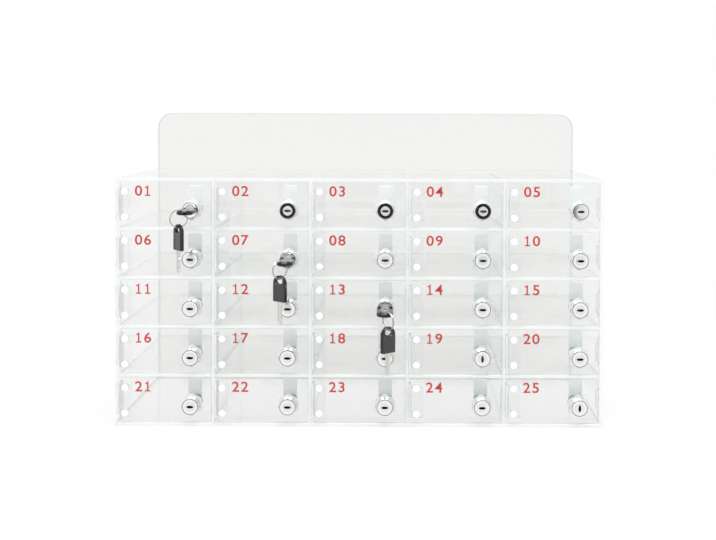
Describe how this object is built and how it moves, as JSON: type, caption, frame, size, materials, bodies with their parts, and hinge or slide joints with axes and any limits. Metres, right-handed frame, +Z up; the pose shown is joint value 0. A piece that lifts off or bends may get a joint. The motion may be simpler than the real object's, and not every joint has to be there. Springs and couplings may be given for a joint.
{
  "type": "cell phone locker box",
  "caption": "Clear acrylic phone locker box: a crate of cells behind small numbered hinged doors, each with a chrome cam lock, and a tall rounded header at the back.",
  "frame": {"origin": "centre of the bottom sheet's underside, on the surface that the box stands on", "axes": "+X to the right as seen from the front, +Y to the back, +Z up; the doors face -Y"},
  "size_m": [0.488, 0.2228, 0.314],
  "materials": {
    "acrylic": "clear polished acrylic sheet with laser-cut edges, see-through",
    "hinge_plastic": "clear moulded plastic, see-through",
    "lock_chrome": "polished chrome plate",
    "ring_steel": "nickel-plated spring steel",
    "key_plastic": "glossy black moulded cap; the blade is nickel-plated steel"
  },
  "bodies": {
    "carcass": {"back_panel": "acrylic", "uprights": "acrylic", "levels": "acrylic", "hinge_leaves": "hinge_plastic"},
    "door_01": {"door_01": "acrylic"},
    "door_02": {"door_02": "acrylic"},
    "door_03": {"door_03": "acrylic"},
    "door_04": {"door_04": "acrylic"},
    "door_05": {"door_05": "acrylic"},
    "door_06": {"door_06": "acrylic"},
    "door_07": {"door_07": "acrylic"},
    "door_08": {"door_08": "acrylic"},
    "door_09": {"door_09": "acrylic"},
    "door_10": {"door_10": "acrylic"},
    "door_11": {"door_11": "acrylic"},
    "door_12": {"door_12": "acrylic"},
    "door_13": {"door_13": "acrylic"},
    "door_14": {"door_14": "acrylic"},
    "door_15": {"door_15": "acrylic"},
    "door_16": {"door_16": "acrylic"},
    "door_17": {"door_17": "acrylic"},
    "door_18": {"door_18": "acrylic"},
    "door_19": {"door_19": "acrylic"},
    "door_20": {"door_20": "acrylic"},
    "door_21": {"door_21": "acrylic"},
    "door_22": {"door_22": "acrylic"},
    "door_23": {"door_23": "acrylic"},
    "door_24": {"door_24": "acrylic"},
    "door_25": {"door_25": "acrylic"},
    "lock_01": {"lock_01": "lock_chrome"},
    "lock_02": {"lock_02": "lock_chrome"},
    "lock_03": {"lock_03": "lock_chrome"},
    "lock_04": {"lock_04": "lock_chrome"},
    "lock_05": {"lock_05": "lock_chrome"},
    "lock_06": {"lock_06": "lock_chrome"},
    "lock_07": {"lock_07": "lock_chrome"},
    "lock_08": {"lock_08": "lock_chrome"},
    "lock_09": {"lock_09": "lock_chrome"},
    "lock_10": {"lock_10": "lock_chrome"},
    "lock_11": {"lock_11": "lock_chrome"},
    "lock_12": {"lock_12": "lock_chrome"},
    "lock_13": {"lock_13": "lock_chrome"},
    "lock_14": {"lock_14": "lock_chrome"},
    "lock_15": {"lock_15": "lock_chrome"},
    "lock_16": {"lock_16": "lock_chrome"},
    "lock_17": {"lock_17": "lock_chrome"},
    "lock_18": {"lock_18": "lock_chrome"},
    "lock_19": {"lock_19": "lock_chrome"},
    "lock_20": {"lock_20": "lock_chrome"},
    "lock_21": {"lock_21": "lock_chrome"},
    "lock_22": {"lock_22": "lock_chrome"},
    "lock_23": {"lock_23": "lock_chrome"},
    "lock_24": {"lock_24": "lock_chrome"},
    "lock_25": {"lock_25": "lock_chrome"},
    "key_ring_01": {"key_ring_01": "ring_steel"},
    "spare_key_01": {"spare_key_01": "key_plastic"},
    "key_ring_07": {"key_ring_07": "ring_steel"},
    "spare_key_07": {"spare_key_07": "key_plastic"},
    "key_ring_13": {"key_ring_13": "ring_steel"},
    "spare_key_13": {"spare_key_13": "key_plastic"}
  },
  "joints": [
    {"name": "door_01_hinge", "type": "hinge", "parent": "carcass", "child": "door_01", "pos_m": [-0.2398, -0.0897, 0.222], "axis": [0, 0, -1], "range_deg": [0, 170]},
    {"name": "door_02_hinge", "type": "hinge", "parent": "carcass", "child": "door_02", "pos_m": [-0.1428, -0.0897, 0.222], "axis": [0, 0, -1], "range_deg": [0, 110]},
    {"name": "door_03_hinge", "type": "hinge", "parent": "carcass", "child": "door_03", "pos_m": [-0.0458, -0.0897, 0.222], "axis": [0, 0, -1], "range_deg": [0, 170]},
    {"name": "door_04_hinge", "type": "hinge", "parent": "carcass", "child": "door_04", "pos_m": [0.0512, -0.0897, 0.222], "axis": [0, 0, -1], "range_deg": [0, 170]},
    {"name": "door_05_hinge", "type": "hinge", "parent": "carcass", "child": "door_05", "pos_m": [0.1482, -0.0897, 0.222], "axis": [0, 0, -1], "range_deg": [0, 170]},
    {"name": "door_06_hinge", "type": "hinge", "parent": "carcass", "child": "door_06", "pos_m": [-0.2398, -0.0897, 0.173], "axis": [0, 0, -1], "range_deg": [0, 15]},
    {"name": "door_07_hinge", "type": "hinge", "parent": "carcass", "child": "door_07", "pos_m": [-0.1428, -0.0897, 0.173], "axis": [0, 0, -1], "range_deg": [0, 110]},
    {"name": "door_08_hinge", "type": "hinge", "parent": "carcass", "child": "door_08", "pos_m": [-0.0458, -0.0897, 0.173], "axis": [0, 0, -1], "range_deg": [0, 110]},
    {"name": "door_09_hinge", "type": "hinge", "parent": "carcass", "child": "door_09", "pos_m": [0.0512, -0.0897, 0.173], "axis": [0, 0, -1], "range_deg": [0, 170]},
    {"name": "door_10_hinge", "type": "hinge", "parent": "carcass", "child": "door_10", "pos_m": [0.1482, -0.0897, 0.173], "axis": [0, 0, -1], "range_deg": [0, 170]},
    {"name": "door_11_hinge", "type": "hinge", "parent": "carcass", "child": "door_11", "pos_m": [-0.2398, -0.0897, 0.124], "axis": [0, 0, -1], "range_deg": [0, 170]},
    {"name": "door_12_hinge", "type": "hinge", "parent": "carcass", "child": "door_12", "pos_m": [-0.1428, -0.0897, 0.124], "axis": [0, 0, -1], "range_deg": [0, 15]},
    {"name": "door_13_hinge", "type": "hinge", "parent": "carcass", "child": "door_13", "pos_m": [-0.0458, -0.0897, 0.124], "axis": [0, 0, -1], "range_deg": [0, 110]},
    {"name": "door_14_hinge", "type": "hinge", "parent": "carcass", "child": "door_14", "pos_m": [0.0512, -0.0897, 0.124], "axis": [0, 0, -1], "range_deg": [0, 110]},
    {"name": "door_15_hinge", "type": "hinge", "parent": "carcass", "child": "door_15", "pos_m": [0.1482, -0.0897, 0.124], "axis": [0, 0, -1], "range_deg": [0, 170]},
    {"name": "door_16_hinge", "type": "hinge", "parent": "carcass", "child": "door_16", "pos_m": [-0.2398, -0.0897, 0.075], "axis": [0, 0, -1], "range_deg": [0, 170]},
    {"name": "door_17_hinge", "type": "hinge", "parent": "carcass", "child": "door_17", "pos_m": [-0.1428, -0.0897, 0.075], "axis": [0, 0, -1], "range_deg": [0, 170]},
    {"name": "door_18_hinge", "type": "hinge", "parent": "carcass", "child": "door_18", "pos_m": [-0.0458, -0.0897, 0.075], "axis": [0, 0, -1], "range_deg": [0, 15]},
    {"name": "door_19_hinge", "type": "hinge", "parent": "carcass", "child": "door_19", "pos_m": [0.0512, -0.0897, 0.075], "axis": [0, 0, -1], "range_deg": [0, 110]},
    {"name": "door_20_hinge", "type": "hinge", "parent": "carcass", "child": "door_20", "pos_m": [0.1482, -0.0897, 0.075], "axis": [0, 0, -1], "range_deg": [0, 170]},
    {"name": "door_21_hinge", "type": "hinge", "parent": "carcass", "child": "door_21", "pos_m": [-0.2398, -0.0897, 0.026], "axis": [0, 0, -1], "range_deg": [0, 170]},
    {"name": "door_22_hinge", "type": "hinge", "parent": "carcass", "child": "door_22", "pos_m": [-0.1428, -0.0897, 0.026], "axis": [0, 0, -1], "range_deg": [0, 170]},
    {"name": "door_23_hinge", "type": "hinge", "parent": "carcass", "child": "door_23", "pos_m": [-0.0458, -0.0897, 0.026], "axis": [0, 0, -1], "range_deg": [0, 170]},
    {"name": "door_24_hinge", "type": "hinge", "parent": "carcass", "child": "door_24", "pos_m": [0.0512, -0.0897, 0.026], "axis": [0, 0, -1], "range_deg": [0, 170]},
    {"name": "door_25_hinge", "type": "hinge", "parent": "carcass", "child": "door_25", "pos_m": [0.1482, -0.0897, 0.026], "axis": [0, 0, -1], "range_deg": [0, 170]},
    {"name": "lock_01_turn", "type": "hinge", "parent": "door_01", "child": "lock_01", "pos_m": [-0.1676, -0.0885, 0.2163], "axis": [0, -1, 0], "range_deg": [-90, 0]},
    {"name": "lock_02_turn", "type": "hinge", "parent": "door_02", "child": "lock_02", "pos_m": [-0.0706, -0.0885, 0.2163], "axis": [0, -1, 0], "range_deg": [-90, 0]},
    {"name": "lock_03_turn", "type": "hinge", "parent": "door_03", "child": "lock_03", "pos_m": [0.0264, -0.0885, 0.2163], "axis": [0, -1, 0], "range_deg": [-90, 0]},
    {"name": "lock_04_turn", "type": "hinge", "parent": "door_04", "child": "lock_04", "pos_m": [0.1234, -0.0885, 0.2163], "axis": [0, -1, 0], "range_deg": [-90, 0]},
    {"name": "lock_05_turn", "type": "hinge", "parent": "door_05", "child": "lock_05", "pos_m": [0.2204, -0.0885, 0.2163], "axis": [0, -1, 0], "range_deg": [-90, 0]},
    {"name": "lock_06_turn", "type": "hinge", "parent": "door_06", "child": "lock_06", "pos_m": [-0.1676, -0.0885, 0.1673], "axis": [0, -1, 0], "range_deg": [-90, 0]},
    {"name": "lock_07_turn", "type": "hinge", "parent": "door_07", "child": "lock_07", "pos_m": [-0.0706, -0.0885, 0.1673], "axis": [0, -1, 0], "range_deg": [-90, 0]},
    {"name": "lock_08_turn", "type": "hinge", "parent": "door_08", "child": "lock_08", "pos_m": [0.0264, -0.0885, 0.1673], "axis": [0, -1, 0], "range_deg": [-90, 0]},
    {"name": "lock_09_turn", "type": "hinge", "parent": "door_09", "child": "lock_09", "pos_m": [0.1234, -0.0885, 0.1673], "axis": [0, -1, 0], "range_deg": [-90, 0]},
    {"name": "lock_10_turn", "type": "hinge", "parent": "door_10", "child": "lock_10", "pos_m": [0.2204, -0.0885, 0.1673], "axis": [0, -1, 0], "range_deg": [-90, 0]},
    {"name": "lock_11_turn", "type": "hinge", "parent": "door_11", "child": "lock_11", "pos_m": [-0.1676, -0.0885, 0.1183], "axis": [0, -1, 0], "range_deg": [-90, 0]},
    {"name": "lock_12_turn", "type": "hinge", "parent": "door_12", "child": "lock_12", "pos_m": [-0.0706, -0.0885, 0.1183], "axis": [0, -1, 0], "range_deg": [-90, 0]},
    {"name": "lock_13_turn", "type": "hinge", "parent": "door_13", "child": "lock_13", "pos_m": [0.0264, -0.0885, 0.1183], "axis": [0, -1, 0], "range_deg": [-90, 0]},
    {"name": "lock_14_turn", "type": "hinge", "parent": "door_14", "child": "lock_14", "pos_m": [0.1234, -0.0885, 0.1183], "axis": [0, -1, 0], "range_deg": [-90, 0]},
    {"name": "lock_15_turn", "type": "hinge", "parent": "door_15", "child": "lock_15", "pos_m": [0.2204, -0.0885, 0.1183], "axis": [0, -1, 0], "range_deg": [-90, 0]},
    {"name": "lock_16_turn", "type": "hinge", "parent": "door_16", "child": "lock_16", "pos_m": [-0.1676, -0.0885, 0.0693], "axis": [0, -1, 0], "range_deg": [-90, 0]},
    {"name": "lock_17_turn", "type": "hinge", "parent": "door_17", "child": "lock_17", "pos_m": [-0.0706, -0.0885, 0.0693], "axis": [0, -1, 0], "range_deg": [-90, 0]},
    {"name": "lock_18_turn", "type": "hinge", "parent": "door_18", "child": "lock_18", "pos_m": [0.0264, -0.0885, 0.0693], "axis": [0, -1, 0], "range_deg": [-90, 0]},
    {"name": "lock_19_turn", "type": "hinge", "parent": "door_19", "child": "lock_19", "pos_m": [0.1234, -0.0885, 0.0693], "axis": [0, -1, 0], "range_deg": [-90, 0]},
    {"name": "lock_20_turn", "type": "hinge", "parent": "door_20", "child": "lock_20", "pos_m": [0.2204, -0.0885, 0.0693], "axis": [0, -1, 0], "range_deg": [-90, 0]},
    {"name": "lock_21_turn", "type": "hinge", "parent": "door_21", "child": "lock_21", "pos_m": [-0.1676, -0.0885, 0.0203], "axis": [0, -1, 0], "range_deg": [-90, 0]},
    {"name": "lock_22_turn", "type": "hinge", "parent": "door_22", "child": "lock_22", "pos_m": [-0.0706, -0.0885, 0.0203], "axis": [0, -1, 0], "range_deg": [-90, 0]},
    {"name": "lock_23_turn", "type": "hinge", "parent": "door_23", "child": "lock_23", "pos_m": [0.0264, -0.0885, 0.0203], "axis": [0, -1, 0], "range_deg": [-90, 0]},
    {"name": "lock_24_turn", "type": "hinge", "parent": "door_24", "child": "lock_24", "pos_m": [0.1234, -0.0885, 0.0203], "axis": [0, -1, 0], "range_deg": [-90, 0]},
    {"name": "lock_25_turn", "type": "hinge", "parent": "door_25", "child": "lock_25", "pos_m": [0.2204, -0.0885, 0.0203], "axis": [0, -1, 0], "range_deg": [-90, 0]},
    {"name": "key_ring_01_swing", "type": "hinge", "parent": "lock_01", "child": "key_ring_01", "pos_m": [-0.17244, -0.12169, 0.2163], "axis": [-0.8821, -0.4711, 0], "range_deg": [-6, 15]},
    {"name": "spare_key_01_swing", "type": "hinge", "parent": "key_ring_01", "child": "spare_key_01", "pos_m": [-0.17244, -0.12169, 0.2024], "axis": [-0.7779, -0.6283, 0], "range_deg": [-15, 15]},
    {"name": "key_ring_07_swing", "type": "hinge", "parent": "lock_07", "child": "key_ring_07", "pos_m": [-0.07451, -0.12295, 0.1673], "axis": [-0.7121, -0.7021, 0], "range_deg": [-6, 15]},
    {"name": "spare_key_07_swing", "type": "hinge", "parent": "key_ring_07", "child": "spare_key_07", "pos_m": [-0.07451, -0.12295, 0.1534], "axis": [-0.5888, -0.8083, 0], "range_deg": [-15, 15]},
    {"name": "key_ring_13_swing", "type": "hinge", "parent": "lock_13", "child": "key_ring_13", "pos_m": [0.0297, -0.1235, 0.1183], "axis": [-0.6, 0.8, 0], "range_deg": [-6, 15]},
    {"name": "spare_key_13_swing", "type": "hinge", "parent": "key_ring_13", "child": "spare_key_13", "pos_m": [0.0297, -0.1235, 0.1044], "axis": [0.6, -0.8, 0], "range_deg": [-15, 15]}
  ]
}
